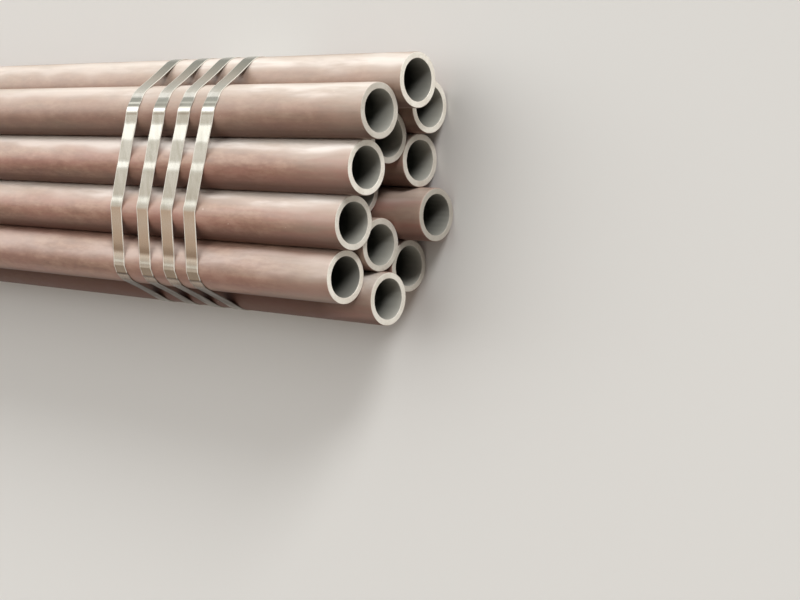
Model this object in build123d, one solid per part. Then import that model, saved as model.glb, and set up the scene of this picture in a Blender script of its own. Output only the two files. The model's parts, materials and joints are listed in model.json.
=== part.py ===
from build123d import *
import math
import os

# A strapped bundle of thirteen thick-walled steel pipes, lying on a level floor.
# Millimetres. X runs along the pipes, +X towards the staggered ends, and Z is up.
# The origin is under the middle of the bundle, on the floor.

# The pipe
PIPE_DIAMETER = 88.9
PIPE_WALL = 10.0
PIPE_LENGTH = 6000.0
END_CHAMFER = 0.8

# The close-packed rows from the top one down, each a row of pipes from +Y to -Y.
# A number is how far that pipe's end lies back from the foremost one.
PIPE_GAP = 0.3
ROWS = {
    "top": (15.0, 46.0, 78.0, 100.0),
    "middle": (0.0, 65.0, 130.0, 90.0, 77.0),
    "bottom": (41.0, 65.0, 33.0, 96.0),
}

# The steel straps, in three groups of four
STRAP_WIDTH = 30.0
STRAP_THICKNESS = 1.0
STRAP_GAP = 0.3
STRAP_SPACINGS = (60.0, 64.0, 72.0)
GROUP_FROM_END = 419.0

# The pipes have slid on each other since they were strapped, and carried the straps along.
# Seen from above, a strap runs square at -Y, slants from one crease to the next and turns back.
LOW_CREASE_Y = -35.0
HIGH_CREASE_Y = 155.0
SLANT_SHIFT = 67.0
TURN_BACK_SLOPE = 0.16

# The pressed seal round each strap's lapped ends
LAP_LENGTH = 82.0
SEAL_LENGTH = 48.0
SEAL_SHEET = 1.0
SEAL_GAP = 0.15
CRIMP_COUNT = 3
CRIMP_PITCH = 12.0
CRIMP_RADIUS = 3.0
CRIMP_DEPTH = 0.5

# Sizes that follow from those above
PIPE_RADIUS = PIPE_DIAMETER / 2
BORE_RADIUS = PIPE_RADIUS - PIPE_WALL
PITCH = PIPE_DIAMETER + PIPE_GAP
ROW_HEIGHT = PITCH * math.sqrt(3) / 2
STRAP_INNER = PIPE_RADIUS + STRAP_GAP
STRAP_OUTER = STRAP_INNER + STRAP_THICKNESS
ROW_Z = {
    "bottom": STRAP_OUTER,
    "middle": STRAP_OUTER + ROW_HEIGHT,
    "top": STRAP_OUTER + 2 * ROW_HEIGHT,
}
DEEPEST_END = max(max(ends) for ends in ROWS.values())
FOREMOST_X = (PIPE_LENGTH + DEEPEST_END) / 2
GROUP_SPAN = sum(STRAP_SPACINGS)
BUNDLE_HALF_WIDTH = (len(ROWS["middle"]) - 1) / 2 * PITCH + STRAP_OUTER


def pipe_places(row):
    """Y of each pipe's axis in a row, from +Y to -Y."""
    count = len(ROWS[row])
    return [((count - 1) / 2 - index) * PITCH for index in range(count)]


def pipe(end_x, y, z):
    """One pipe whose +X end face is at end_x: a turned wall with both ends' edges broken."""
    c = END_CHAMFER
    back_x = end_x - PIPE_LENGTH
    wall = Polyline(
        (back_x, BORE_RADIUS + c),
        (back_x, PIPE_RADIUS - c),
        (back_x + c, PIPE_RADIUS),
        (end_x - c, PIPE_RADIUS),
        (end_x, PIPE_RADIUS - c),
        (end_x, BORE_RADIUS + c),
        (end_x - c, BORE_RADIUS),
        (back_x + c, BORE_RADIUS),
        close=True,
    )
    return Pos(0, y, z) * revolve(make_face(wall), Axis.X)


def hull_section(radius):
    """The tight loop round the six corner pipes at this distance from their axes, in the YZ plane."""
    half_top = pipe_places("top")[0]
    half_middle = pipe_places("middle")[0]
    corners = Polyline(
        (half_top, ROW_Z["top"]),
        (half_middle, ROW_Z["middle"]),
        (half_top, ROW_Z["bottom"]),
        (-half_top, ROW_Z["bottom"]),
        (-half_middle, ROW_Z["middle"]),
        (-half_top, ROW_Z["top"]),
        close=True,
    )
    return offset(make_face(corners), radius, kind=Kind.ARC)


def strap_path(x):
    """The strap's centre line seen from above, for a strap that crosses the -Y side at x."""
    reach = BUNDLE_HALF_WIDTH + STRAP_WIDTH
    turned_back = (reach - HIGH_CREASE_Y) * TURN_BACK_SLOPE
    return Polyline(
        (x, -reach),
        (x, LOW_CREASE_Y),
        (x + SLANT_SHIFT, HIGH_CREASE_Y),
        (x + SLANT_SHIFT - turned_back, reach),
    )


def lap_plane(x):
    """Where a strap's ends lap: the flat between the -Y pipe and the last pipe of the bottom row.

    The plane lies on the strap's outer face, its X along the bundle, its Z outwards."""
    low = Vector(0, pipe_places("bottom")[-1], ROW_Z["bottom"])
    side = Vector(0, pipe_places("middle")[-1], ROW_Z["middle"])
    along = (side - low).normalized()
    outwards = Vector(1, 0, 0).cross(along)
    middle = (low + side) * 0.5 + outwards * STRAP_OUTER + Vector(x, 0, 0)
    return Plane(origin=middle, x_dir=(1, 0, 0), z_dir=outwards)


def strap(x):
    """A flat band pulled tight round the bundle, its end lapped over its start."""
    height = ROW_Z["top"] + STRAP_OUTER
    seen_from_above = trace(strap_path(x), STRAP_WIDTH)
    slab = extrude(Pos(0, 0, -height / 2) * seen_from_above, 2 * height, dir=(0, 0, 1))
    loop = Plane.YZ * (hull_section(STRAP_OUTER) - hull_section(STRAP_INNER))
    reach = GROUP_SPAN + SLANT_SHIFT + 2 * STRAP_WIDTH
    ring = extrude(Pos(x - reach, 0, 0) * loop, 2 * reach, dir=(1, 0, 0)) & slab
    lap = lap_plane(x) * Box(
        STRAP_WIDTH,
        LAP_LENGTH,
        STRAP_THICKNESS,
        align=(Align.CENTER, Align.CENTER, Align.MIN),
    )
    return ring + lap


def seal(x):
    """A folded sheet sleeve round both layers of the lap, with crimp grooves across its outer face."""
    inside_width = STRAP_WIDTH + 2 * SEAL_GAP
    inside_height = 2 * STRAP_THICKNESS + 2 * SEAL_GAP
    outside_height = inside_height + 2 * SEAL_SHEET
    sleeve = Box(inside_width + 2 * SEAL_SHEET, SEAL_LENGTH, outside_height)
    sleeve = fillet(sleeve.edges().filter_by(Axis.Y), SEAL_SHEET * 0.8)
    sleeve -= Box(inside_width, SEAL_LENGTH, inside_height)
    groove_z = outside_height / 2 + CRIMP_RADIUS - CRIMP_DEPTH
    for index in range(CRIMP_COUNT):
        groove_y = (index - (CRIMP_COUNT - 1) / 2) * CRIMP_PITCH
        groove = Rotation(0, 90, 0) * Cylinder(CRIMP_RADIUS, 2 * STRAP_WIDTH)
        sleeve -= Pos(0, groove_y, groove_z) * groove
    return lap_plane(x) * sleeve


def strap_groups():
    """X of every strap at the -Y side, by group, from +X to -X."""
    near = FOREMOST_X - GROUP_FROM_END
    firsts = {"near": near, "middle": GROUP_SPAN / 2, "far": GROUP_SPAN - near}
    groups = {}
    for group, first in firsts.items():
        places = [first]
        for spacing in STRAP_SPACINGS:
            places.append(places[-1] - spacing)
        groups[group] = places
    return groups


def build():
    """Every piece of the bundle, by name."""
    pieces = {}
    for row, ends in ROWS.items():
        for index, y in enumerate(pipe_places(row)):
            pieces[f"pipe_{row}_{index + 1}"] = pipe(FOREMOST_X - ends[index], y, ROW_Z[row])
    for group, places in strap_groups().items():
        for index, x in enumerate(places):
            pieces[f"strap_{group}_{index + 1}"] = strap(x)
            pieces[f"seal_{group}_{index + 1}"] = seal(x)
    return pieces


os.makedirs("parts", exist_ok=True)
for name, piece in build().items():
    export_step(piece, f"parts/{name}.step")
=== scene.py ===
import json
import math

import bpy
import numpy as np
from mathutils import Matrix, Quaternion, Vector


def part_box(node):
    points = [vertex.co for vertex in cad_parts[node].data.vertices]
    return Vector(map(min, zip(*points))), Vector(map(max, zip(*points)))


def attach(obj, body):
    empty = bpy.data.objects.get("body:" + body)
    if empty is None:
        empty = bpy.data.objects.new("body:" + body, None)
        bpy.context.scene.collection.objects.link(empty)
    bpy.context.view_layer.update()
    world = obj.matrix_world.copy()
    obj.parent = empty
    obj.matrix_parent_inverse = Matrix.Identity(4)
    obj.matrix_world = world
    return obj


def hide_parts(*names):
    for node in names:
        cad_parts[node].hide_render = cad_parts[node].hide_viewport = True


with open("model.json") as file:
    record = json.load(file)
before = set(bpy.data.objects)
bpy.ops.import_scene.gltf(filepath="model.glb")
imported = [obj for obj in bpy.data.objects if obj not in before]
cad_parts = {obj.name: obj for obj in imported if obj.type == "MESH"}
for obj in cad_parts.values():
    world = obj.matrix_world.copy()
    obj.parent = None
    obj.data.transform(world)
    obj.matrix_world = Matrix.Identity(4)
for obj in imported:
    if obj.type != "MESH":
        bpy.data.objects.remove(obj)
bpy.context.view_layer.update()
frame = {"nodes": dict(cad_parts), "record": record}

MM = 0.001

# The pipe, in millimetres
PIPE_RADIUS = 44.45
PIPE_WALL = 10.0
OUTER_EDGE_ROUND = 1.6
BORE_EDGE_ROUND = 0.9
# How far the bore is off centre and out of round, and how uneven it is, each with its waves in a turn
BORE_WANDER = 0.5
BORE_WANDER_WAVES = (1, 2)
BORE_RIPPLE = 0.105
BORE_RIPPLE_WAVES = (5, 9, 14, 23)
# How finely a pipe is divided: round it, along it (the bore at every fourth place), at these distances
# from its ends, and over each rounded edge and each sawn face
PIPE_FACETS = 108
PIPE_STATIONS = 70
BORE_EVERY = 4
END_STATIONS = np.array([10.0, 20.0, 35.0, 55.0, 80.0, 110.0, 150.0])
ROUND_POINTS = 6
FACE_POINTS = 7
PIPE_SEED = 410
# How dull a sawn end is where it isn't as usual: partly weathering, partly painted shade on ends set back
# among the others
USUAL_DULLNESS = 0.4
END_DULLNESS = {
    "pipe_middle_1": 0.0,
    "pipe_top_1": 0.45,
    "pipe_top_2": 0.05,
    "pipe_top_3": 0.25,
    "pipe_top_4": 0.08,
    "pipe_middle_2": 0.6,
    "pipe_middle_4": 0.45,
    "pipe_middle_5": 0.2,
    "pipe_bottom_1": 0.05,
    "pipe_bottom_2": 0.35,
    "pipe_bottom_3": 0.75,
    "pipe_bottom_4": 0.65,
}
# How much painted shade darkens a bore where it isn't 0
BORE_SHADE = {"pipe_middle_1": 0.3, "pipe_top_2": 0.1, "pipe_top_4": 0.42, "pipe_bottom_3": 0.35}
# How much dust and painted light lie on a pipe where it isn't 1: the veil and the painted highlight
DUST_AND_LIGHT = {
    "pipe_middle_1": 0.72,
    "pipe_top_1": 0.72,
    "pipe_top_3": 0.92,
    "pipe_top_4": 0.35,
    "pipe_bottom_3": 0.28,
    "pipe_bottom_4": 0.6,
}
# How much painted shade lies all over a pipe where it isn't 0, on pipes that lie in the shade of others
PAINTED_SHADE_SHARE = {
    "pipe_top_4": 0.08,
    "pipe_middle_3": 0.3,
    "pipe_middle_5": 0.82,
    "pipe_bottom_3": 0.12,
    "pipe_bottom_4": 0.15,
}
# How grey a pipe's oxide is all over where it isn't 0
GREYNESS = {"pipe_middle_1": 0.4, "pipe_top_1": 0.38}
# How rosy a pipe's oxide is where it isn't 1
ROSINESS = {
    "pipe_middle_1": 0.3,
    "pipe_top_1": 0.5,
    "pipe_top_4": 0.8,
    "pipe_middle_5": 1.2,
    "pipe_bottom_3": 1.3,
}
# How far the dust, painted light and painted shade round a pipe are turned, in degrees; one that isn't
# listed, by up to 8 either way
USUAL_TURN = 8
PIPE_TURN = {
    "pipe_top_1": -6.0,
    "pipe_top_2": -7.0,
    "pipe_top_3": -9.0,
    "pipe_top_4": 21.0,
    "pipe_middle_1": -1.0,
}
# Dust, painted light and painted shade round a pipe's girth, as (degrees from +Y towards +Z, share)
LIT_SIDE_VEIL_PLACES = (
    (-180, 0.0),
    (-70, 0.0),
    (-20, 0.12),
    (0, 0.20),
    (16, 0.60),
    (32, 0.82),
    (46, 0.5),
    (61, 0.4),
    (73, 0.3),
    (84, 0.18),
    (97, 0.03),
    (112, 0.0),
    (180, 0.0),
)
# The painted highlight round the girth
PAINTED_HIGHLIGHT_PLACES = (
    (-180, 0.0),
    (8, 0.0),
    (22, 0.55),
    (34, 0.75),
    (42, 0.85),
    (52, 0.75),
    (62, 0.25),
    (74, 0.0),
    (180, 0.0),
)
# Painted shade round the girth, darkest along the underside
PAINTED_SHADE_PLACES = (
    (-180, 0.30),
    (-150, 0.05),
    (-110, 0.0),
    (98, 0.0),
    (116, 0.12),
    (130, 0.42),
    (142, 0.75),
    (158, 0.82),
    (180, 0.30),
)
# How far the edges of the dust and painted light wander round the girth, in degrees: the veil's streaks and
# the painted highlight's waves
LIT_SIDE_RAGGEDNESS = 26.0
PAINTED_HIGHLIGHT_WAVE = 46.0

# The straps, in millimetres
STRAP_WIDTH = 30.0
STRAP_THICKNESS = 1.0
STRAP_GAP = 0.25
VALLEY_SAG = 0.8
# How finely a strip is divided: along it, at least this often round a corner, over each slit edge, and at
# these shares of the way across
STRAP_STEP = 2.5
ARC_POINTS = 6
SLIT_POINTS = 5
FLAT_PLACES = np.array([0.08, 0.5, 0.92])
STRAP_SEED = 90
# The pipes that a strap bears on, in order round the bundle
CORNER_PIPES = (
    "pipe_top_1",
    "pipe_middle_1",
    "pipe_bottom_1",
    "pipe_bottom_4",
    "pipe_middle_5",
    "pipe_top_4",
)
# A straight run lies flat, on top or underneath, if its outward direction's Z is at least this either way
FLAT_FACING = 0.9
# The strip turns over this corner pipe in flats, this many degrees from one crease to the next
CREASED_CORNER = "pipe_top_4"
CREASE_TURN = 20.0
# The strip's height over the top row, as (Y, millimetres under the tight loop): it isn't quite straight
TOP_FACE_KINKS = (
    (-133.8, 0.25),
    (-124.0, 0.45),
    (-116.0, 0.85),
    (-104.0, 0.50),
    (-75.0, 0.35),
    (-44.6, 0.25),
    (-27.0, 0.15),
    (-15.0, 0.75),
    (34.0, 0.0),
    (49.0, 0.62),
    (84.0, 0.10),
    (115.0, 1.05),
    (133.8, 0.25),
)
# How much each kink's place differs from strap to strap, and how far it is smoothed either way
KINK_SHIFT = 1.5
KINK_SMOOTHING = 1.2
# Painted reflections along the strip: (Y, how much by a grey band, by a warm tan one, by a dark one that
# stands for reflected shade)
PAINTED_BAND_PLACES = (
    (-222.0, 0.6, 0.3, 0.55),
    (-208.0, 0.6, 0.3, 0.92),
    (-192.0, 0.6, 0.3, 0.97),
    (-178.0, 0.5, 0.4, 0.94),
    (-168.0, 0.2, 0.9, 0.80),
    (-160.0, 0.1, 1.0, 0.50),
    (-157.5, 0.1, 1.0, 0.85),
    (-155.8, 0.1, 0.8, 0.70),
    (-154.2, 0.0, 0.4, 0.0),
    (-138.0, 0.0, 0.3, 0.0),
    (-132.0, 0.5, 0.3, 0.0),
    (-127.0, 0.1, 0.5, 0.0),
    (-121.0, 0.0, 0.7, 0.0),
    (-114.0, 0.0, 1.0, 0.30),
    (-106.0, 0.0, 1.0, 0.18),
    (-92.0, 0.0, 1.0, 0.0),
    (-60.0, 0.0, 0.8, 0.0),
    (-37.0, 0.0, 1.0, 0.0),
    (-33.0, 0.0, 0.1, 0.0),
    (-20.0, 0.0, 0.0, 0.0),
    (141.0, 0.0, 0.0, 0.0),
    (142.5, 0.9, 0.0, 0.55),
    (147.5, 0.9, 0.0, 0.60),
    (149.0, 0.5, 0.0, 0.25),
    (150.5, 0.9, 0.0, 0.55),
    (157.0, 0.8, 0.0, 0.35),
    (159.5, 0.0, 0.0, 0.0),
    (168.0, 0.0, 0.0, 0.0),
    (174.0, 0.35, 0.0, 0.0),
    (188.0, 0.6, 0.35, 0.0),
    (200.0, 0.85, 0.2, 0.0),
    (218.0, 0.95, 0.0, 0.0),
)
# How much the painted bands' place differs from strap to strap
PAINTED_BAND_SHIFT = 1.0
# The painted bands' share where the strip stands upright as it lies here, and how fast it grows as it turns
# up
UPRIGHT_BAND = 0.35
BAND_GROWTH = 1.4
# The strap seen from above: square at -Y, slanting from one crease to the next, then turning back, on a
# path that is drawn well past the sides
LOW_CREASE_Y = -35.0
HIGH_CREASE_Y = 155.0
SLANT_SHIFT = 67.0
TURN_BACK_SLOPE = 0.16
PAST_THE_SIDES = 400.0

# The straps' lapped ends and the pressed seals round them, in millimetres
LAP_LENGTH = 82.0
LAP_POINTS = 49
# The lapped end comes out of the loop this far before the lap, climbs over this length, and starts this
# far under the loop's outer face; the climb's height leaves a small gap between the layers
LAP_LEAD = 14.0
LAP_CLIMB_LENGTH = 15.0
LAP_START_DEPTH = 1.03
LAP_CLIMB = 1.05
TAIL_LIFT = 1.2
# The painted reflection bands' shares on the lapped end
LAP_BANDS = (("grey_reflection_band", 0.3), ("warm_reflection_band", 0.2), ("dark_reflection_band", 0.15))
SEAL_LENGTH = 48.0
SEAL_WIDTH = 32.3
SEAL_HEIGHT = 4.3
SEAL_SHEET = 1.0
SEAL_CORNER = 0.8
SEAL_INSIDE_CORNER = 0.1
# How far the sheet's cut edges are broken outside and inside
SEAL_EDGE = 0.25
SEAL_LIP = 0.3
SEAL_STATIONS = 81
SEAL_CORNER_POINTS = 5
SEAL_FACE_POINTS = 10
# Each crimp's place, its depth, its half width, and how far it pinches in each fold's outermost part
CRIMP_PLACES = (-12.0, 0.0, 12.0)
CRIMP_DEPTH = 0.5
CRIMP_HALF_WIDTH = 1.9
CRIMP_PINCH = 0.4
PINCHED_PART = 1.0
# The zinc's spangles are about 4 mm across, so many to a metre
SPANGLES_A_METRE = 260.0

mounts = {mount["name"]: mount["pos_m"] for mount in frame["record"]["mounts"]}
pipe_nodes = sorted(name for name in frame["nodes"] if name.startswith("pipe_"))
strap_nodes = sorted(name for name in frame["nodes"] if name.startswith("strap_"))
seal_nodes = sorted(name for name in frame["nodes"] if name.startswith("seal_"))


def axis_of(pipe_name):
    """Y and Z of a pipe's axis, in millimetres, from its bore's place in the record."""
    place = mounts[pipe_name.replace("pipe_", "bore_")]
    return place[1] / MM, place[2] / MM


def linear(hex_colour):
    """An sRGB hex colour as the linear RGBA that shaders take."""
    values = [int(hex_colour[i : i + 2], 16) / 255 for i in (1, 3, 5)]
    return tuple(v / 12.92 if v <= 0.04045 else ((v + 0.055) / 1.055) ** 2.4 for v in values) + (1.0,)


def add_node(tree, kind, inputs=None, stops=(), **settings):
    """Adds a node with its settings, its inputs and, on a ramp, its stops.

    An input is a value, or a link: a node for its first output, or (node, output) for another one.
    Some are numbered: a Math node's are 0 to 2, a MapRange node's value is 0 and its two ranges are 1 to 4,
    and a colour Mix node's share is 0 and its colours are 6 and 7.
    A stop is (place, colour), and the colour is a hex value or a linear RGBA."""
    new = tree.nodes.new("ShaderNode" + kind)
    for name, value in settings.items():
        setattr(new, name, value)
    for socket, value in (inputs or {}).items():
        source, output = value if isinstance(value, tuple) and len(value) == 2 else (value, 0)
        if isinstance(source, bpy.types.Node):
            tree.links.new(source.outputs[output], new.inputs[socket])
        else:
            new.inputs[socket].default_value = value
    while stops and len(new.color_ramp.elements) < len(stops):
        new.color_ramp.elements.new(0.5)
    for number, (place, colour) in enumerate(stops):
        new.color_ramp.elements[number].position = place
        new.color_ramp.elements[number].color = linear(colour) if isinstance(colour, str) else colour
    return new


def new_material(name):
    """An empty node material and its tree."""
    material = bpy.data.materials.new(name)
    material.use_nodes = True
    material.node_tree.nodes.clear()
    return material, material.node_tree


def share_round_girth(tree, girth, places, shift=0.0):
    """The share that the places give at an angle round the girth, once this shift is taken off it.

    All the angles are in degrees, and a ramp's factor is its angle / 360 + 0.5."""
    scaled = {0: girth, 1: 1 / 360, 2: 0.5 - shift / 360}
    placed = add_node(tree, "Math", scaled, operation="MULTIPLY_ADD")
    stops = [(degrees / 360 + 0.5, (share, share, share, 1.0)) for degrees, share in places]
    return add_node(tree, "ValToRGB", {"Fac": placed}, stops)


def drawn_out_patches(tree, where, length, width, detail=4.0, roughness=0.55, distortion=0.0):
    """Soft irregular patches about this long along X and this wide across it, in metres."""
    stretched = add_node(tree, "Mapping", {"Vector": where, "Scale": (1 / length, 1 / width, 1 / width)})
    shape = {"Scale": 1.0, "Detail": detail, "Roughness": roughness, "Distortion": distortion}
    return add_node(tree, "TexNoise", {"Vector": stretched, **shape})


def rolled_oxide():
    """Hot-rolled seamless pipe: a brown oxide film with rose blooms, drawn out along the rolling.

    Dust and painted light lie on the +Y side: a pale veil of dust, lighter as painted light where light
    falls, and a painted highlight in one ragged line. Painted shade darkens the opposite side and whole
    pipes that lie in shade, and the handled ends are greyer. The flecks and specks are drawn coarser than
    real ones, at 5 mm and more, so that they show."""
    material, tree = new_material("rolled_rose_brown_oxide")
    where = (add_node(tree, "TexCoord"), "Object")
    broad = drawn_out_patches(tree, where, 0.26, 0.040, roughness=0.6)
    rose = drawn_out_patches(tree, where, 0.22, 0.035, roughness=0.6)
    streaks = drawn_out_patches(tree, where, 0.35, 0.010, detail=5.0, distortion=0.3)
    mottle = drawn_out_patches(tree, where, 0.050, 0.022, detail=5.0, roughness=0.6)
    drifts = drawn_out_patches(tree, where, 0.110, 0.050, detail=1.5, roughness=0.5)
    specks = drawn_out_patches(tree, where, 0.009, 0.005, detail=2.0)
    flecks = drawn_out_patches(tree, where, 0.016, 0.005, detail=3.0, roughness=0.6)

    # The oxide: broad blooms, fine streaks along the pipe, small mottling, and flecks of scale and wear
    bloom_tones = [(0.38, "#764F40"), (0.50, "#93705D"), (0.62, "#A18A72")]
    streak_tones = [(0.36, "#745345"), (0.52, "#95715D"), (0.68, "#B1927D")]
    mottle_tones = [(0.37, "#6A4E40"), (0.50, "#93705D"), (0.63, "#BA9C87")]
    bloom = add_node(tree, "ValToRGB", {"Fac": broad}, bloom_tones)
    streaked = add_node(tree, "ValToRGB", {"Fac": streaks}, streak_tones)
    mottled = add_node(tree, "ValToRGB", {"Fac": mottle}, mottle_tones)
    body = add_node(tree, "Mix", {0: 0.4, 6: bloom, 7: streaked}, data_type="RGBA")
    body = add_node(tree, "Mix", {0: 0.42, 6: (body, 2), 7: mottled}, data_type="RGBA")
    scaly = add_node(tree, "MapRange", {0: flecks, 1: 0.52, 2: 0.66, 3: 0.0, 4: 0.28})
    body = add_node(tree, "Mix", {0: scaly, 6: (body, 2), 7: linear("#6B4A3F")}, data_type="RGBA")
    rubbed = add_node(tree, "MapRange", {0: flecks, 1: 0.36, 2: 0.48, 3: 0.18, 4: 0.0})
    body = add_node(tree, "Mix", {0: rubbed, 6: (body, 2), 7: linear("#B49986")}, data_type="RGBA")

    # Greyer where the ends are handled and all over a grey pipe, and rose where the oxide is thin
    end = (add_node(tree, "Attribute", attribute_name="from_end"), "Fac")
    frayed = add_node(tree, "Math", {0: mottle, 1: 0.08, 2: end}, operation="MULTIPLY_ADD")
    handled = add_node(tree, "MapRange", {0: frayed, 1: 0.070, 2: 0.210, 3: 0.7, 4: 0.0})
    greyness = (add_node(tree, "Attribute", attribute_name="greyness"), "Fac")
    handled = add_node(tree, "Math", {0: handled, 1: greyness}, operation="MAXIMUM")
    body = add_node(tree, "Mix", {0: handled, 6: (body, 2), 7: linear("#95887A")}, data_type="RGBA")
    rosiness = (add_node(tree, "Attribute", attribute_name="rosiness"), "Fac")
    rosy = add_node(tree, "MapRange", {0: rose, 1: 0.42, 2: 0.60, 3: 0.15, 4: 0.55})
    rosy = add_node(tree, "Math", {0: rosy, 1: rosiness}, operation="MULTIPLY")
    body = add_node(tree, "Mix", {0: rosy, 6: (body, 2), 7: linear("#A17065")}, data_type="RGBA")

    # Where a point is round the girth, in degrees from +Y less the pipe's turn
    side_y = (add_node(tree, "Attribute", attribute_name="side_y"), "Fac")
    side_z = (add_node(tree, "Attribute", attribute_name="side_z"), "Fac")
    turned = add_node(tree, "Math", {0: side_z, 1: side_y}, operation="ARCTAN2")
    girth = add_node(tree, "Math", {0: turned}, operation="DEGREES")

    # A veil of dust and painted light on the lit side, with streaky edges
    dust_and_light = (add_node(tree, "Attribute", attribute_name="dust_and_light"), "Fac")
    ragged = add_node(tree, "Math", {0: streaks, 1: LIT_SIDE_RAGGEDNESS, 2: girth}, operation="MULTIPLY_ADD")
    dust_and_lit_side = share_round_girth(tree, ragged, LIT_SIDE_VEIL_PLACES, LIT_SIDE_RAGGEDNESS / 2)
    dust_and_lit_side = add_node(tree, "Math", {0: dust_and_lit_side, 1: dust_and_light}, operation="MULTIPLY")
    body = add_node(tree, "Mix", {0: dust_and_lit_side, 6: (body, 2), 7: linear("#D4C9BC")}, data_type="RGBA")

    # A painted highlight as one thick pale line, wavy, broken here and there and thinner away from the ends
    wavy = add_node(tree, "Math", {0: drifts, 1: PAINTED_HIGHLIGHT_WAVE, 2: girth}, operation="MULTIPLY_ADD")
    line = share_round_girth(tree, wavy, PAINTED_HIGHLIGHT_PLACES, PAINTED_HIGHLIGHT_WAVE / 2)
    stretches = add_node(tree, "MapRange", {0: rose, 1: 0.40, 2: 0.56, 3: 0.35, 4: 1.0})
    line = add_node(tree, "Math", {0: line, 1: stretches}, operation="MULTIPLY")
    thick = add_node(tree, "MapRange", {0: end, 1: 0.35, 2: 0.75, 3: 1.0, 4: 0.6})
    line = add_node(tree, "Math", {0: line, 1: thick}, operation="MULTIPLY")
    line = add_node(tree, "Math", {0: line, 1: dust_and_light}, operation="MULTIPLY")
    body = add_node(tree, "Mix", {0: line, 6: (body, 2), 7: linear("#F0EAE3")}, data_type="RGBA")

    # Painted shade along the underside and all over shaded pipes, thinner by the ends, and a few pale
    # specks
    painted_shade_share = (add_node(tree, "Attribute", attribute_name="painted_shade_share"), "Fac")
    shade_by_ends = add_node(tree, "MapRange", {0: end, 1: 0.03, 2: 0.12, 3: 0.35, 4: 1.0})
    painted_shade_share = add_node(tree, "Math", {0: painted_shade_share, 1: shade_by_ends}, operation="MULTIPLY")
    painted_shade = share_round_girth(tree, girth, PAINTED_SHADE_PLACES)
    painted_shade = add_node(tree, "Math", {0: painted_shade, 1: painted_shade_share}, operation="MAXIMUM")
    body = add_node(tree, "Mix", {0: painted_shade, 6: (body, 2), 7: linear("#4A2E24")}, data_type="RGBA")
    pale = add_node(tree, "MapRange", {0: specks, 1: 0.755, 2: 0.790, 3: 0.0, 4: 0.35})
    body = add_node(tree, "Mix", {0: pale, 6: (body, 2), 7: linear("#E6DACF")}, data_type="RGBA")

    sheen = add_node(tree, "MapRange", {0: mottle, 1: 0.3, 2: 0.7, 3: 0.32, 4: 0.46})
    rough = add_node(tree, "Math", {0: painted_shade, 1: 0.35, 2: sheen}, operation="MULTIPLY_ADD")
    fine = drawn_out_patches(tree, where, 0.05, 0.012, detail=6.0, roughness=0.6)
    bump = add_node(tree, "Bump", {"Height": fine, "Strength": 0.24, "Distance": 0.0012})
    finish = {"Roughness": rough, "IOR": 1.6, "Specular Tint": linear("#F5E6DE"), "Normal": bump}
    surface = add_node(tree, "BsdfPrincipled", {"Base Color": (body, 2), **finish})
    add_node(tree, "OutputMaterial", {"Surface": surface})
    return material


def saw_cut_end():
    """The cold-sawn end face: bare pale steel, matt, with tooth marks and a few dark nicks.

    The marks are drawn coarser than a saw's, at about 4 mm, so that they show."""
    material, tree = new_material("cold_sawn_steel")
    where = (add_node(tree, "TexCoord"), "Object")
    grain = drawn_out_patches(tree, where, 0.004, 0.0035, detail=5.0, roughness=0.7)
    cloud = drawn_out_patches(tree, where, 0.02, 0.03, detail=2.0)
    grain_tones = [(0.28, "#AEA89B"), (0.40, "#E3DDD1"), (0.7, "#F3EFE4")]
    tone = add_node(tree, "ValToRGB", {"Fac": grain}, grain_tones)
    cloudy = add_node(tree, "ValToRGB", {"Fac": cloud}, [(0.35, "#D8D0C3"), (0.6, "#F5F1E7")])
    colour = add_node(tree, "Mix", {0: 0.5, 6: tone, 7: cloudy}, data_type="RGBA")
    # Duller on some ends: weathering, and painted shade on the ends set back among the others
    dull = (add_node(tree, "Attribute", attribute_name="end_dullness"), "Fac")
    colour = add_node(tree, "Mix", {0: dull, 6: (colour, 2), 7: linear("#8E877C")}, data_type="RGBA")
    bump = add_node(tree, "Bump", {"Height": grain, "Strength": 0.35, "Distance": 0.0006})
    finish = {"Metallic": 0.25, "Roughness": 0.5, "Normal": bump}
    surface = add_node(tree, "BsdfPrincipled", {"Base Color": (colour, 2), **finish})
    add_node(tree, "OutputMaterial", {"Surface": surface})
    return material


def bore_scale():
    """The bore's wall: dull grey-green mill scale, darkened as painted shade deep inside and paler at its
    mouth as painted light, with more painted shade in some pipes.
    """
    material, tree = new_material("bore_mill_scale")
    where = (add_node(tree, "TexCoord"), "Object")
    cloud = drawn_out_patches(tree, where, 0.12, 0.02)
    # Dark mill scale, darker still as painted shade where light doesn't reach
    scale_tones = [(0.3, "#2F302B"), (0.55, "#3C3D37"), (0.75, "#4A4B45")]
    tone = add_node(tree, "ValToRGB", {"Fac": cloud}, scale_tones)
    end = (add_node(tree, "Attribute", attribute_name="from_end"), "Fac")
    # Painted light: the wall turns paler towards the mouth
    lit_mouth = add_node(tree, "MapRange", {0: end, 1: 0.002, 2: 0.045, 3: 0.72, 4: 0.0})
    colour = add_node(tree, "Mix", {0: lit_mouth, 6: tone, 7: linear("#C2C0B6")}, data_type="RGBA")
    # Painted shade over the whole bore of some pipes
    bore_shading = (add_node(tree, "Attribute", attribute_name="bore_shade"), "Fac")
    colour = add_node(tree, "Mix", {0: bore_shading, 6: (colour, 2), 7: linear("#1B1B17")}, data_type="RGBA")
    surface = add_node(tree, "BsdfPrincipled", {"Base Color": (colour, 2), "Roughness": 0.55})
    add_node(tree, "OutputMaterial", {"Surface": surface})
    return material


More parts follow.
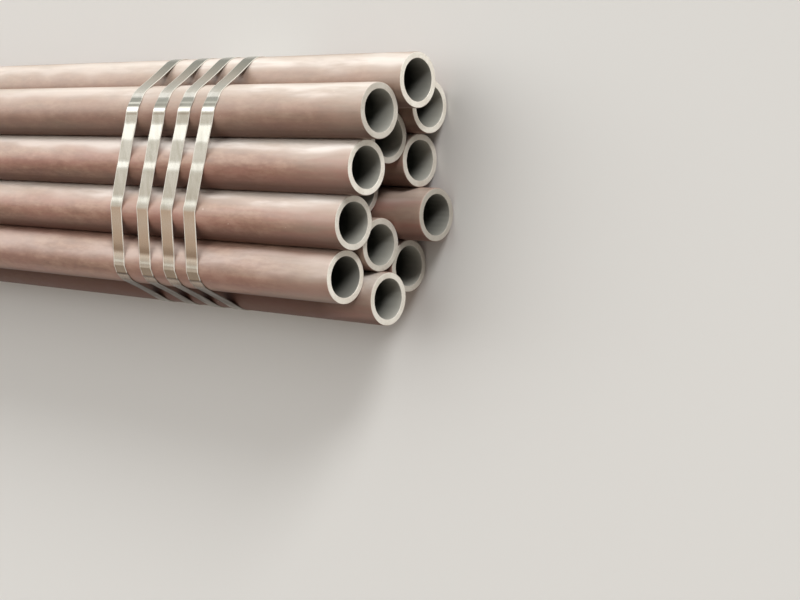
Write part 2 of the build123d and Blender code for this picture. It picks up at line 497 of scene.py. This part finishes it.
def bright_strapping():
    """Zinc-bright cold-rolled strip: a soft mirror with dull smears and pale matt slit edges.

    Its colour carries painted reflections: grey and warm tan bands, and dark patches of reflected shade.
    """
    material, tree = new_material("zinc_bright_strip")
    where = (add_node(tree, "TexCoord"), "Object")
    smear = drawn_out_patches(tree, where, 0.02, 0.05)
    # Painted reflections: the grey, warm tan and dark bands, the dark one broken into patches
    band_share = (add_node(tree, "Attribute", attribute_name="grey_reflection_band"), "Fac")
    warm_band = (add_node(tree, "Attribute", attribute_name="warm_reflection_band"), "Fac")
    dark_band = (add_node(tree, "Attribute", attribute_name="dark_reflection_band"), "Fac")
    patchy = add_node(tree, "MapRange", {0: smear, 1: 0.35, 2: 0.55, 3: 0.85, 4: 1.0})
    dark_band = add_node(tree, "Math", {0: dark_band, 1: patchy}, operation="MULTIPLY")
    slit = (add_node(tree, "Attribute", attribute_name="slit_edge"), "Fac")
    tone = add_node(tree, "ValToRGB", {"Fac": smear}, [(0.3, "#DAD7CB"), (0.6, "#EDEBE2")])
    colour = add_node(tree, "Mix", {0: band_share, 6: tone, 7: linear("#8F938A")}, data_type="RGBA")
    colour = add_node(tree, "Mix", {0: warm_band, 6: (colour, 2), 7: linear("#D6C1AD")}, data_type="RGBA")
    colour = add_node(tree, "Mix", {0: slit, 6: (colour, 2), 7: linear("#DEDACF")}, data_type="RGBA")
    colour = add_node(tree, "Mix", {0: dark_band, 6: (colour, 2), 7: linear("#42352B")}, data_type="RGBA")
    rough = add_node(tree, "MapRange", {0: smear, 1: 0.3, 2: 0.7, 3: 0.10, 4: 0.17})
    rough = add_node(tree, "Math", {0: band_share, 1: 0.12, 2: rough}, operation="MULTIPLY_ADD")
    rough = add_node(tree, "Math", {0: slit, 1: 0.3, 2: rough}, operation="MULTIPLY_ADD")
    rough = add_node(tree, "Math", {0: dark_band, 1: 0.15, 2: rough}, operation="MULTIPLY_ADD")
    metal = add_node(tree, "MapRange", {0: slit, 1: 0.0, 2: 1.0, 3: 1.0, 4: 0.3})
    finish = {"Metallic": metal, "Roughness": rough}
    surface = add_node(tree, "BsdfPrincipled", {"Base Color": (colour, 2), **finish})
    add_node(tree, "OutputMaterial", {"Surface": surface})
    return material


def pressed_seal_sheet():
    """Zinc-coated sheet, folded and crimped: dull spangled grey, scraped bright in the crimps."""
    material, tree = new_material("zinc_coated_seal_sheet")
    where = (add_node(tree, "TexCoord"), "Object")
    spangle = add_node(tree, "TexVoronoi", {"Vector": where, "Scale": SPANGLES_A_METRE, "Randomness": 1.0})
    stain = drawn_out_patches(tree, where, 0.02, 0.02)
    tone = add_node(tree, "ValToRGB", {"Fac": (spangle, "Color")}, [(0.1, "#A9ABA8"), (0.9, "#C9CAC6")])
    stained = add_node(tree, "MapRange", {0: stain, 1: 0.5, 2: 0.72, 3: 0.0, 4: 0.7})
    colour = add_node(tree, "Mix", {0: stained, 6: tone, 7: linear("#8B7F70")}, data_type="RGBA")
    crimped = (add_node(tree, "Attribute", attribute_name="crimped"), "Fac")
    scraped = add_node(tree, "Math", {0: crimped, 1: 0.7}, operation="MULTIPLY")
    colour = add_node(tree, "Mix", {0: scraped, 6: (colour, 2), 7: linear("#D9D8D2")}, data_type="RGBA")
    rough = add_node(tree, "MapRange", {0: stain, 1: 0.3, 2: 0.7, 3: 0.28, 4: 0.45})
    finish = {"Metallic": 0.85, "Roughness": rough}
    surface = add_node(tree, "BsdfPrincipled", {"Base Color": (colour, 2), **finish})
    add_node(tree, "OutputMaterial", {"Surface": surface})
    return material


def grid_mesh(name, points, closed_u, closed_v, capped=False):
    """A mesh over a grid of points [u, v, 3] in millimetres, joined round where a way is closed.

    A capped one has a flat face over its first row of points and over its last."""
    rows, columns = points.shape[:2]
    index = np.arange(rows * columns).reshape(rows, columns)
    u = np.arange(rows if closed_u else rows - 1)
    v = np.arange(columns if closed_v else columns - 1)
    here_u, here_v = np.meshgrid(u, v, indexing="ij")
    next_u = (here_u + 1) % rows
    next_v = (here_v + 1) % columns
    corners = (
        index[here_u, here_v],
        index[next_u, here_v],
        index[next_u, next_v],
        index[here_u, next_v],
    )
    faces = np.stack(corners, -1).reshape(-1, 4).tolist()
    caps = [index[0].tolist(), index[-1, ::-1].tolist()] if capped else []
    mesh = bpy.data.meshes.new(name)
    mesh.from_pydata((points.reshape(-1, 3) * MM).tolist(), [], faces + caps)
    mesh.polygons.foreach_set("use_smooth", np.arange(len(mesh.polygons)) < len(faces))
    mesh.update()
    return mesh


def store(mesh, name, values):
    """Keeps a number for each vertex of a mesh, for its material to read."""
    layer = mesh.attributes.new(name, "FLOAT", "POINT")
    layer.data.foreach_set("value", np.ravel(values).astype(np.float32))


def add_piece(name, mesh, node_name, materials):
    """Puts a finished mesh into the scene in the place of a CAD node."""
    piece = bpy.data.objects.new(name, mesh)
    bpy.context.scene.collection.objects.link(piece)
    for material in materials:
        mesh.materials.append(material)
    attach(piece, "root")
    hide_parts(node_name)


def ripple(angle, rng, waves, size):
    """A closed wavy line round a circle: a few sine waves of random height and phase, in all this large."""
    total = np.zeros_like(angle)
    for wave in waves:
        total += rng.normal() * np.sin(wave * angle + rng.uniform(0, 2 * math.pi)) / math.sqrt(len(waves))
    return size * total


def end_profile(end, inwards):
    """The wall's section at one end, from the outside to the bore: each point's x and its radius.

    A round outer edge, the flat sawn face and the bore's small round edge, as arcs of a few points.
    The sign of inwards says which way along X the pipe lies from this end."""
    outer = PIPE_RADIUS
    bore = PIPE_RADIUS - PIPE_WALL
    turn = np.linspace(0, math.pi / 2, ROUND_POINTS)
    edge_x = end + inwards * OUTER_EDGE_ROUND * (1 - np.sin(turn))
    edge_r = outer - OUTER_EDGE_ROUND * (1 - np.cos(turn))
    face_r = np.linspace(outer - OUTER_EDGE_ROUND, bore + BORE_EDGE_ROUND, FACE_POINTS)[1:-1]
    face_x = np.full_like(face_r, end)
    lip_x = end + inwards * BORE_EDGE_ROUND * (1 - np.cos(turn))
    lip_r = bore + BORE_EDGE_ROUND * (1 - np.sin(turn))
    x = np.concatenate([edge_x, face_x, lip_x])
    r = np.concatenate([edge_r, face_r, lip_r])
    return x, r


def pipe_section(low_x, high_x):
    """A pipe's section: each point's x, its radius and the finish from there to the next point.

    It goes along the outside, over the +X end, back along the bore and over the -X end. The finishes are
    0 for the oxide, 1 for the sawn ends and 2 for the bore's scale, and they change half way round each
    edge."""
    near_x, near_r = end_profile(high_x, -1)
    far_x, far_r = end_profile(low_x, 1)
    near = high_x - END_STATIONS
    far = low_x + END_STATIONS
    # The evenly spaced places stop short of the closer ones by the ends, in the bore a little sooner
    middle = np.linspace(low_x, high_x, PIPE_STATIONS)[3:-3]
    outside = np.concatenate([far, middle, near[::-1]])
    inside = np.concatenate([near, middle[::-1][2:-2:BORE_EVERY], far[::-1]])
    outer_r = np.full_like(outside, PIPE_RADIUS)
    bore_r = np.full_like(inside, PIPE_RADIUS - PIPE_WALL)
    x = np.concatenate([outside, near_x, inside, far_x[::-1]])
    radius = np.concatenate([outer_r, near_r, bore_r, far_r[::-1]])
    half_round = ROUND_POINTS // 2
    first_near = len(outside)
    first_inside = first_near + len(near_x)
    first_far = first_inside + len(inside)
    finish = np.zeros(len(x), int)
    finish[first_near + half_round : first_inside - half_round] = 1
    finish[first_inside - half_round : first_far + half_round] = 2
    finish[first_far + half_round : len(x) - half_round] = 1
    return x, radius, finish


def pipe_mesh(name, low_x, high_x, rng):
    """One pipe: its wall's section carried round the axis.

    The bore wanders a little off centre, as a rolled wall does, and is slightly uneven: both are sums of
    sine waves round the axis, taken off the radius in full at the bore and not at all outside. Vertices
    carry their distance from the nearer end in metres, their place round the girth and the pipe's looks."""
    y, z = axis_of(name)
    section_x, section_r, finish = pipe_section(low_x, high_x)
    angle = -np.arange(PIPE_FACETS) / PIPE_FACETS * 2 * math.pi
    depth = np.clip((PIPE_RADIUS - section_r) / PIPE_WALL, 0, 1)[:, None]
    wander = ripple(angle, rng, BORE_WANDER_WAVES, BORE_WANDER)
    wander = wander + ripple(angle, rng, BORE_RIPPLE_WAVES, BORE_RIPPLE)
    radius = section_r[:, None] - np.abs(wander)[None, :] * depth
    points = np.empty((len(section_x), PIPE_FACETS, 3))
    points[..., 0] = section_x[:, None]
    points[..., 1] = y + radius * np.cos(angle)
    points[..., 2] = z + radius * np.sin(angle)
    mesh = grid_mesh(name + "_wall", points, True, True)
    end_distance = np.minimum(section_x - low_x, high_x - section_x) * MM
    store(mesh, "from_end", np.repeat(np.maximum(end_distance, 0), PIPE_FACETS))
    girth = angle - math.radians(PIPE_TURN.get(name, rng.uniform(-USUAL_TURN, USUAL_TURN)))
    store(mesh, "side_y", np.tile(np.cos(girth), len(section_x)))
    store(mesh, "side_z", np.tile(np.sin(girth), len(section_x)))
    looks = {
        "end_dullness": END_DULLNESS.get(name, USUAL_DULLNESS),
        "bore_shade": BORE_SHADE.get(name, 0.0),
        "dust_and_light": DUST_AND_LIGHT.get(name, 1.0),
        "rosiness": ROSINESS.get(name, 1.0),
        "painted_shade_share": PAINTED_SHADE_SHARE.get(name, 0.0),
        "greyness": GREYNESS.get(name, 0.0),
    }
    for look, share in looks.items():
        store(mesh, look, np.full(len(mesh.vertices), share))
    mesh.polygons.foreach_set("material_index", np.repeat(finish, PIPE_FACETS))
    return mesh


def strap_loop(rng):
    """The strip's inner line round the bundle, as points and outward directions in YZ.

    Arcs round the six corner pipes, joined by straight runs. One arc is a row of flats that touch the
    circle, so its radius is the circle's over the cosine of the angle from the nearest touch. Over the
    top row the strip has slight kinks, where its ends lap it is straight, and on the other sides it sags a
    little towards each valley and lies on each crest."""
    corners = [np.array(axis_of(name)) for name in CORNER_PIPES]
    count = len(corners)
    radius = PIPE_RADIUS + STRAP_GAP
    kink_y, kink_depth = np.array(TOP_FACE_KINKS).T
    kink_y = kink_y + rng.uniform(-KINK_SHIFT, KINK_SHIFT, len(kink_y))
    points = []
    outwards = []
    for i in range(count):
        before, here, after = corners[i - 1], corners[i], corners[(i + 1) % count]
        start_dir = (here - before) / np.linalg.norm(here - before)
        end_dir = (after - here) / np.linalg.norm(after - here)
        start = math.atan2(start_dir[0], -start_dir[1])
        turn = math.acos(np.clip(start_dir @ end_dir, -1, 1))
        creased = CORNER_PIPES[i] == CREASED_CORNER
        step = STRAP_STEP / 2 if creased else STRAP_STEP
        bend = np.linspace(0, turn, max(ARC_POINTS, int(turn * radius / step)))
        normals = np.stack([np.cos(start - bend), np.sin(start - bend)], -1)
        flat = math.radians(CREASE_TURN)
        off_touch = (bend + flat / 2) % flat - flat / 2
        reach = radius / np.cos(off_touch) if creased else np.full(len(bend), radius)
        length = np.linalg.norm(after - here)
        along = np.linspace(0, length, int(length / STRAP_STEP) + 1)[1:-1]
        normal = np.array([math.cos(start - turn), math.sin(start - turn)])
        line = here + radius * normal + along[:, None] * end_dir
        lapped = normal[0] < 0 and -FLAT_FACING < normal[1] < 0
        if normal[1] > FLAT_FACING:
            shifts = (-KINK_SMOOTHING, 0, KINK_SMOOTHING)
            depth = sum(np.interp(line[:, 0] + shift, kink_y, kink_depth) for shift in shifts) / len(shifts)
        else:
            crossed = round(length / (2 * PIPE_RADIUS))
            depth = (0 if lapped else VALLEY_SAG) * np.sin(math.pi * along / length * crossed) ** 2
        points += [here + reach[:, None] * normals, line - depth[:, None] * normal]
        outwards += [normals, np.repeat(normal[None], len(along), 0)]
    return np.concatenate(points), np.concatenate(outwards)


def edge_lines(strap_x):
    """The strap's two long edges seen from above: lines (y, x) with a mitred corner at each crease."""
    slopes = (0.0, SLANT_SHIFT / (HIGH_CREASE_Y - LOW_CREASE_Y), -TURN_BACK_SLOPE)
    starts = ((LOW_CREASE_Y, strap_x), (LOW_CREASE_Y, strap_x), (HIGH_CREASE_Y, strap_x + SLANT_SHIFT))
    lines = []
    for side in (-1, 1):
        at_zero = [
            x0 - slope * y0 + side * STRAP_WIDTH / 2 * math.sqrt(1 + slope**2)
            for slope, (y0, x0) in zip(slopes, starts)
        ]
        bends = [(at_zero[i + 1] - at_zero[i]) / (slopes[i] - slopes[i + 1]) for i in range(2)]
        ys = [-PAST_THE_SIDES, *bends, PAST_THE_SIDES]
        xs = [
            at_zero[0],
            at_zero[0],
            at_zero[1] + slopes[1] * bends[1],
            at_zero[2] + slopes[2] * PAST_THE_SIDES,
        ]
        lines.append((ys, xs))
    return lines


def strip_section(line, outwards, left, right):
    """The strip's section at each place of a line: points [place, round the section, 3] in millimetres.

    It runs between the two edges across, lies its own thickness thick outwards from the line, and its two
    slit edges are half rounds. Also says which points of the section are on a slit edge."""
    half = STRAP_THICKNESS / 2
    turn = np.linspace(-math.pi / 2, math.pi / 2, SLIT_POINTS)
    edge = np.ones(SLIT_POINTS)
    face = np.ones(len(FLAT_PLACES))
    across = np.concatenate([edge, FLAT_PLACES[::-1], 0 * edge, FLAT_PLACES])
    push = np.concatenate([np.cos(turn) - 1, 0 * face, 1 - np.cos(turn), 0 * face]) * half
    lift = np.concatenate([np.sin(turn), face, -np.sin(turn), -face]) * half + half
    x = left[:, None] + (right - left)[:, None] * across + push
    ring = line[:, None, :] + outwards[:, None, :] * lift[None, :, None]
    slit = np.concatenate([edge, 0 * face, edge, 0 * face])
    return np.concatenate([x[..., None], ring], -1), slit


def strap_mesh(name, rng):
    """One strap's loop: the strip's section carried round the bundle, each edge along its own path."""
    strap_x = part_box(name)[0].x / MM + STRAP_WIDTH / 2
    loop, outwards = strap_loop(rng)
    edges = edge_lines(strap_x)
    left = np.interp(loop[:, 0], *edges[0])
    right = np.interp(loop[:, 0], *edges[1])
    points, slit = strip_section(loop, outwards, left, right)
    mesh = grid_mesh(name + "_strip", points, True, True)
    store(mesh, "slit_edge", np.tile(slit, len(loop)))
    # Painted reflection bands, placed along the loop and stronger where the strip faces +Y
    band_y, *band_shares = np.array(PAINTED_BAND_PLACES).T
    facing_up = np.clip(outwards[:, 1] * BAND_GROWTH + UPRIGHT_BAND, 0, 1)
    place = loop[:, 0] + rng.uniform(-PAINTED_BAND_SHIFT, PAINTED_BAND_SHIFT)
    for layer, band_share in zip(("grey_reflection_band", "warm_reflection_band", "dark_reflection_band"), band_shares):
        store(mesh, layer, np.repeat(np.interp(place, band_y, band_share) * facing_up, len(slit)))
    return mesh


def lap_frame():
    """Where the ends lap: the middle of the flat under the -Y side, along it upwards, and outwards."""
    low = np.array(axis_of("pipe_bottom_4"))
    side = np.array(axis_of("pipe_middle_5"))
    along = (side - low) / np.linalg.norm(side - low)
    outwards = np.array([-along[1], along[0]])
    middle = (low + side) / 2 + outwards * (PIPE_RADIUS + STRAP_GAP + STRAP_THICKNESS)
    return middle, along, outwards


def lap_mesh(name):
    """The strap's free end, lapped over its start: the same section along a short line.

    The line climbs out of the loop by a smooth step, lies on it under the seal, and its cut end springs
    up a little as a parabola."""
    strap_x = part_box(name)[0].x / MM + STRAP_WIDTH / 2
    middle, along, outwards = lap_frame()
    half = LAP_LENGTH / 2
    place = np.linspace(-half - LAP_LEAD, half, LAP_POINTS)
    climb = np.clip((place + half + LAP_LEAD) / LAP_CLIMB_LENGTH, 0, 1)
    spring = np.clip((place - SEAL_LENGTH / 2) / (half - SEAL_LENGTH / 2), 0, 1)
    height = -LAP_START_DEPTH + LAP_CLIMB * climb**2 * (3 - 2 * climb) + TAIL_LIFT * spring**2
    line = middle + place[:, None] * along + height[:, None] * outwards
    normals = np.repeat(outwards[None], len(place), 0)
    left = np.full(len(place), strap_x - STRAP_WIDTH / 2)
    points, slit = strip_section(line, normals, left, left + STRAP_WIDTH)
    mesh = grid_mesh(name + "_lap", points, False, True, capped=True)
    cut = np.tile(slit, len(points)).reshape(len(points), -1)
    cut[-1] = 1.0
    store(mesh, "slit_edge", cut)
    # Painted reflection bands, even along the lapped end
    for layer, band_share in LAP_BANDS:
        store(mesh, layer, np.full(len(mesh.vertices), band_share))
    return mesh


def round_box(width, height, corner):
    """A round-cornered box's outline, anticlockwise from the right: arcs joined by straight runs.

    Only the two long runs have points of their own between the arcs."""
    turn = np.linspace(0, math.pi / 2, SEAL_CORNER_POINTS)
    centres = [(1, 1), (-1, 1), (-1, -1), (1, -1)]
    outline = []
    for quarter, (side, level) in enumerate(centres):
        x = side * (width / 2 - corner) + corner * np.cos(turn + quarter * math.pi / 2)
        y = level * (height / 2 - corner) + corner * np.sin(turn + quarter * math.pi / 2)
        outline.append(np.stack([x, y], -1))
        if quarter in (0, 2):
            share = np.linspace(0, 1, SEAL_FACE_POINTS)[1:-1, None]
            here = outline[-1][-1]
            there = here * [-1, 1]
            outline.append(here + (there - here) * share)
    return np.concatenate(outline)


def seal_mesh(name):
    """A pressed seal: a folded sheet sleeve, its section carried along the lap and back through the inside.

    At each crimp the outer face dips by a bell curve of the distance from it, and both folds pinch in."""
    low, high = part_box(name)
    strap_x = (low.x + high.x) / 2 / MM
    middle, along, outwards = lap_frame()
    half = SEAL_LENGTH / 2
    inside_width = SEAL_WIDTH - 2 * SEAL_SHEET
    inside_height = SEAL_HEIGHT - 2 * SEAL_SHEET
    outside = round_box(SEAL_WIDTH, SEAL_HEIGHT, SEAL_CORNER)
    inside = round_box(inside_width, inside_height, SEAL_INSIDE_CORNER)
    edge = round_box(SEAL_WIDTH - 2 * SEAL_EDGE, SEAL_HEIGHT - 2 * SEAL_EDGE, SEAL_CORNER - SEAL_EDGE)
    lip = round_box(inside_width + 2 * SEAL_EDGE, inside_height + 2 * SEAL_EDGE, SEAL_LIP)
    steps = np.linspace(-half + SEAL_EDGE, half - SEAL_EDGE, SEAL_STATIONS)
    sections = np.array([edge, *[outside] * len(steps), edge, lip, *[inside] * 2, lip])
    places = np.array([-half, *steps, half, half, half - SEAL_LIP, -half + SEAL_LIP, -half])
    crimp = sum(np.exp(-(((places - at) / CRIMP_HALF_WIDTH) ** 2)) for at in CRIMP_PLACES)
    first_lip = len(steps) + 2
    crimp[first_lip:] = 0
    x = sections[..., 0]
    height = sections[..., 1]
    in_fold = np.clip((np.abs(x) - SEAL_WIDTH / 2 + PINCHED_PART) / PINCHED_PART, 0, 1)
    x = x - np.sign(x) * in_fold * CRIMP_PINCH * crimp[:, None]
    height = height - np.clip(height / (SEAL_HEIGHT / 2), 0, 1) * CRIMP_DEPTH * crimp[:, None]
    ring = middle + places[:, None, None] * along + height[..., None] * outwards
    points = np.concatenate([(strap_x + x)[..., None], ring], -1)
    mesh = grid_mesh(name + "_sleeve", points, True, True)
    store(mesh, "crimped", np.repeat(crimp, len(outside)))
    return mesh


def build_pipes():
    """All thirteen pipes in the places of their CAD nodes."""
    finishes = [rolled_oxide(), saw_cut_end(), bore_scale()]
    for number, name in enumerate(pipe_nodes):
        low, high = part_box(name)
        rng = np.random.default_rng(PIPE_SEED + number)
        mesh = pipe_mesh(name, low.x / MM, high.x / MM, rng)
        add_piece(name + "_wall", mesh, name, finishes)


def build_straps():
    """Every strap with its lapped end, and every seal, in the places of their CAD nodes."""
    strip = bright_strapping()
    sheet = pressed_seal_sheet()
    for number, name in enumerate(strap_nodes):
        rng = np.random.default_rng(STRAP_SEED + number)
        add_piece(name + "_strip", strap_mesh(name, rng), name, [strip])
        add_piece(name + "_lap", lap_mesh(name), name, [strip])
    for name in seal_nodes:
        add_piece(name + "_sleeve", seal_mesh(name), name, [sheet])


# The photograph's view in the bundle's own frame: the lens's place in metres, the way it looks in degrees,
# and its length and the sensor's width in millimetres.
# The bundle lies on its long side here, so the camera looks down on it and leans over to its right.
CAMERA_PLACE = (4.649, 0.209, 2.016)
CAMERA_HEADING = -166.69
CAMERA_DOWN = 48.39
CAMERA_LEAN = 101.82
CAMERA_LENS = 69.56
CAMERA_SENSOR = 36.0
CAMERA_REACH = 100.0


def add_camera():
    """The camera, turned from a level view in its heading by its dip and its lean."""
    heading = math.radians(CAMERA_HEADING)
    down = math.radians(CAMERA_DOWN)
    ahead = math.cos(down)
    forward = Vector((math.cos(heading) * ahead, math.sin(heading) * ahead, -math.sin(down)))
    level = forward.to_track_quat("-Z", "Y")
    lean = Quaternion((0, 0, 1), -math.radians(CAMERA_LEAN))
    data = bpy.data.cameras.new("camera")
    data.sensor_fit = "HORIZONTAL"
    data.sensor_width = CAMERA_SENSOR
    data.lens = CAMERA_LENS
    data.clip_end = CAMERA_REACH
    camera = bpy.data.objects.new("camera", data)
    camera.rotation_mode = "QUATERNION"
    camera.rotation_quaternion = level @ lean
    camera.location = CAMERA_PLACE
    bpy.context.scene.collection.objects.link(camera)
    bpy.context.scene.camera = camera


# The soft lamp over the open ends: the direction it stands in, its strength and its width in degrees
LAMP_TOWARDS = (0.60, 0.725, 0.345)
LAMP_STRENGTH = 2.5
LAMP_WIDTH = 16


def add_lamp():
    """A soft lamp far off, up the +Y side and towards the open ends: it lights the bores."""
    data = bpy.data.lights.new("ends", "SUN")
    data.energy = LAMP_STRENGTH
    data.angle = math.radians(LAMP_WIDTH)
    lamp = bpy.data.objects.new("ends", data)
    lamp.rotation_mode = "QUATERNION"
    lamp.rotation_quaternion = Vector(LAMP_TOWARDS).to_track_quat("Z", "Y")
    bpy.context.scene.collection.objects.link(lamp)


# The soft light, as (place, level, tint). The first list goes round the horizon by a direction's Y.
# The second goes overhead by the angle from +Y, over the top at 90 degrees, down to -Y at 180.
# The ramps hold shares of the peak level, because their shades end at 1, and the world's strength is it.
PEAK_LEVEL = 4.0
HORIZON_LIGHT = (
    (-1.0, 0.92, "#F8F6F2"),
    (0.15, 0.75, "#FAF9F6"),
    (0.45, 0.95, "#FFFEFC"),
    (1.0, 0.95, "#FFFEFC"),
)
OVERHEAD_LIGHT = (
    (0, 0.95, "#FFFEFC"),
    (26, 0.95, "#FFFEFC"),
    (44, 1.95, "#FFFEFC"),
    (56, 2.3, "#FFFEFC"),
    (77, 2.4, "#FFFEFC"),
    (84, 1.55, "#FFFEFC"),
    (90, 1.5, "#FFFEFC"),
    (91.5, 0.85, "#FBF9F4"),
    (96, 0.76, "#FBF6EE"),
    (103, 0.52, "#F0DFCE"),
    (120, 0.34, "#EDD9C6"),
    (180, 0.42, "#E8D2BE"),
)
# How the light over the +Y side falls off towards the pipes' open ends: X where it starts, X where it
# ends, and the share left there. Past these angles it no longer falls.
END_FALL = (-0.15, 0.35, 0.10)
FALL_ANGLES = (92, 118)
# A direction's Z where the light round the horizon starts to give way to the one overhead, and where it has
OVERHEAD_FROM = 0.18
OVERHEAD_TO = 0.34


def level_stops(levels, low, high):
    """A ramp's stops for light levels placed from low to high, as shares of the peak level."""
    stops = []
    for place, level, tint in levels:
        shades = [part * level / PEAK_LEVEL for part in linear(tint)[:3]]
        stops.append(((place - low) / (high - low), (*shades, 1.0)))
    return stops


def add_world():
    """Soft light from all round: brightest high on the +Y side, dim and warm on the -Y side."""
    world = bpy.data.worlds.new("studio")
    bpy.context.scene.world = world
    world.use_nodes = True
    tree = world.node_tree
    tree.nodes.clear()
    where = add_node(tree, "TexCoord")
    parts = add_node(tree, "SeparateXYZ", {"Vector": (where, "Generated")})
    sideways = add_node(tree, "MapRange", {0: (parts, "Y"), 1: -1.0, 2: 1.0, 3: 0.0, 4: 1.0})
    horizon = add_node(tree, "ValToRGB", {"Fac": sideways}, level_stops(HORIZON_LIGHT, -1.0, 1.0))
    angle = add_node(tree, "Math", {0: (parts, "Z"), 1: (parts, "Y")}, operation="ARCTAN2")
    half_turns = add_node(tree, "Math", {0: angle, 1: 1 / math.pi}, operation="MULTIPLY")
    overhead = add_node(tree, "ValToRGB", {"Fac": half_turns}, level_stops(OVERHEAD_LIGHT, 0, 180))
    fall_start, fall_end, share_left = END_FALL
    kept_from, kept_to = (degrees / 180 for degrees in FALL_ANGLES)
    left = add_node(tree, "MapRange", {0: half_turns, 1: kept_from, 2: kept_to, 3: share_left, 4: 1.0})
    fall = add_node(tree, "MapRange", {0: (parts, "X"), 1: fall_start, 2: fall_end, 3: 1.0, 4: left})
    lit = {0: 1.0, 6: overhead, 7: fall}
    overhead = add_node(tree, "Mix", lit, data_type="RGBA", blend_type="MULTIPLY")
    raised = {0: (parts, "Z"), 1: OVERHEAD_FROM, 2: OVERHEAD_TO}
    height = add_node(tree, "MapRange", raised, interpolation_type="SMOOTHSTEP")
    sky = add_node(tree, "Mix", {0: height, 6: horizon, 7: (overhead, 2)}, data_type="RGBA")
    background = add_node(tree, "Background", {"Color": (sky, 2), "Strength": PEAK_LEVEL})
    add_node(tree, "OutputWorld", {"Surface": background})


# How far the floor reaches to each side, in metres
FLOOR_REACH = 20.0


def add_floor():
    """A plain pale floor, far wider than the view."""
    mesh = bpy.data.meshes.new("floor")
    sides = ((-1, -1), (1, -1), (1, 1), (-1, 1))
    corners = [(x * FLOOR_REACH, y * FLOOR_REACH, 0) for x, y in sides]
    mesh.from_pydata(corners, [], [(0, 1, 2, 3)])
    floor = bpy.data.objects.new("floor", mesh)
    bpy.context.scene.collection.objects.link(floor)
    material, tree = new_material("pale_floor_paint")
    surface = add_node(tree, "BsdfPrincipled", {"Base Color": linear("#D6D5D2"), "Roughness": 0.8})
    add_node(tree, "OutputMaterial", {"Surface": surface})
    mesh.materials.append(material)


build_pipes()
build_straps()
add_camera()
add_lamp()
add_world()
add_floor()
bpy.context.scene.view_settings.view_transform = "Standard"
